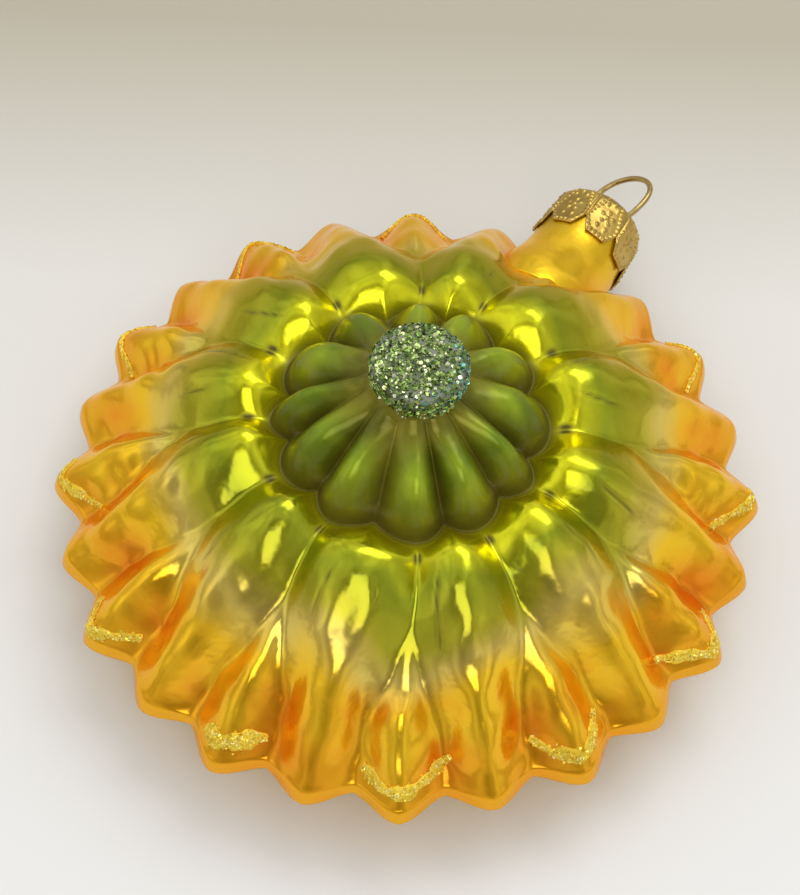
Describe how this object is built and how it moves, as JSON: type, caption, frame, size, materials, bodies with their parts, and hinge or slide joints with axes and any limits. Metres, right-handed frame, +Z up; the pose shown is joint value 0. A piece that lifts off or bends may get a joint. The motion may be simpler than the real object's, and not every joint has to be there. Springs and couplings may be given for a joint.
{
  "type": "glass sunflower ornament",
  "caption": "Hollow blown-glass ornament shaped as a sunflower, lying face down, with a glittered stem stub, glitter-edged petals, a stamped crown cap and a sprung wire hanger.",
  "frame": {"origin": "middle of the flat seed disc that the ornament lies on, under the flower's axis", "axes": "+Z up, away from the surface, along the flower's axis towards the stem stub; +Y along the neck, towards the hanger loop; +X completes a right-handed frame"},
  "size_m": [0.1002, 0.119, 0.045],
  "materials": {
    "lacquered_glass": "silvered inside, satin lacquer outside: orange petal tips, yellow petals, green petal bases and calyx, with a clear gloss coat",
    "green_glitter": "coarse silver-green glitter flakes in clear glue",
    "gold_glitter": "coarse gold glitter flakes in clear glue",
    "cap_metal": "gold-coloured stamped sheet, satin with bright raised beads",
    "wire_metal": "gold-coloured drawn spring wire, satin"
  },
  "bodies": {
    "root": {"glass_body": "lacquered_glass", "stem_glitter": "green_glitter", "petal_glitter_01": "gold_glitter", "petal_glitter_02": "gold_glitter", "petal_glitter_03": "gold_glitter", "petal_glitter_04": "gold_glitter", "petal_glitter_05": "gold_glitter", "petal_glitter_06": "gold_glitter", "petal_glitter_07": "gold_glitter", "petal_glitter_08": "gold_glitter", "petal_glitter_09": "gold_glitter", "petal_glitter_10": "gold_glitter", "petal_glitter_11": "gold_glitter", "crown_cap": "cap_metal", "hanger_wire": "wire_metal"}
  },
  "joints": []
}
